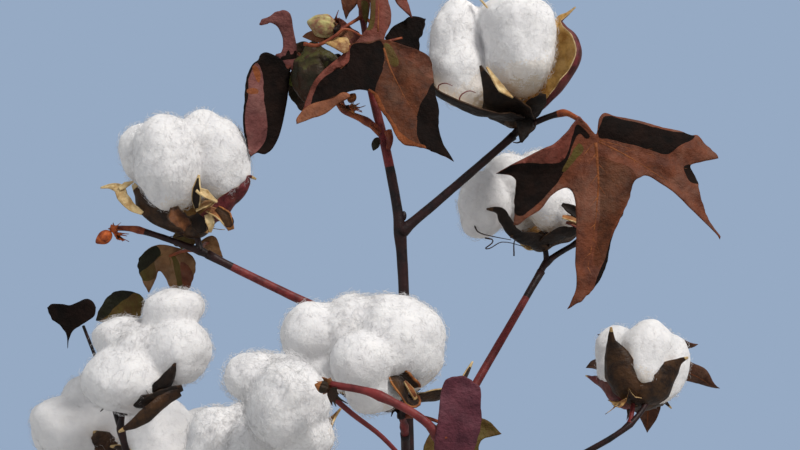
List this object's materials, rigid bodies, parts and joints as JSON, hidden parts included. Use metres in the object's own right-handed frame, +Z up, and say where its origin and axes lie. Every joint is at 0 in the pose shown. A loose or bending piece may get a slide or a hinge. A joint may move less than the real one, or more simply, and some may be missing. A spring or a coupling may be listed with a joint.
{
  "type": "cotton plant",
  "caption": "Late-season cotton plant: a rooted woody stem with slender red branches, open bolls of white lint in dried burs, and curled red-brown lobed leaves.",
  "frame": {"origin": "middle of the flat cut at ground level under the main stem", "axes": "+Z up along the main stem; the side that shows best faces -Y; +X to the right from there"},
  "size_m": [0.5442, 0.5328, 1.058],
  "materials": {
    "stem": "dry dark red-brown bark, finely ridged along its length",
    "branch": "smooth dark red bark with a slight sheen",
    "foliage": "white lint, tan dried burs and red-brown leaves, all matt"
  },
  "bodies": {
    "root": {"main_stem": "stem", "branch_right_high": "branch", "branch_left_high": "branch", "branch_right_back": "branch", "branch_front_right": "branch", "branch_front_left": "branch", "branch_front_low": "branch", "branch_left_low": "branch", "branch_lower_1": "branch", "branch_lower_2": "branch", "branch_lower_3": "branch", "branch_lower_4": "branch", "branch_lower_5": "branch", "branch_lower_6": "branch", "branch_lower_7": "branch", "branch_lower_8": "branch", "branch_lower_9": "branch", "branch_lower_10": "branch", "branch_lower_11": "branch", "branch_lower_12": "branch", "branch_lower_13": "branch", "branch_lower_14": "branch", "branch_lower_15": "branch", "foliage_right_high": "foliage", "foliage_left_high": "foliage", "foliage_right_back": "foliage", "foliage_front_right": "foliage", "foliage_front_left": "foliage", "foliage_front_low": "foliage", "foliage_left_low": "foliage", "foliage_lower_1": "foliage", "foliage_lower_2": "foliage", "foliage_lower_3": "foliage", "foliage_lower_4": "foliage", "foliage_lower_5": "foliage", "foliage_lower_6": "foliage", "foliage_lower_7": "foliage", "foliage_lower_8": "foliage", "foliage_lower_9": "foliage", "foliage_lower_10": "foliage", "foliage_lower_11": "foliage", "foliage_lower_12": "foliage", "foliage_lower_13": "foliage", "foliage_lower_14": "foliage", "foliage_lower_15": "foliage", "foliage_tip": "foliage", "foliage_side_shoot": "foliage"}
  },
  "joints": []
}
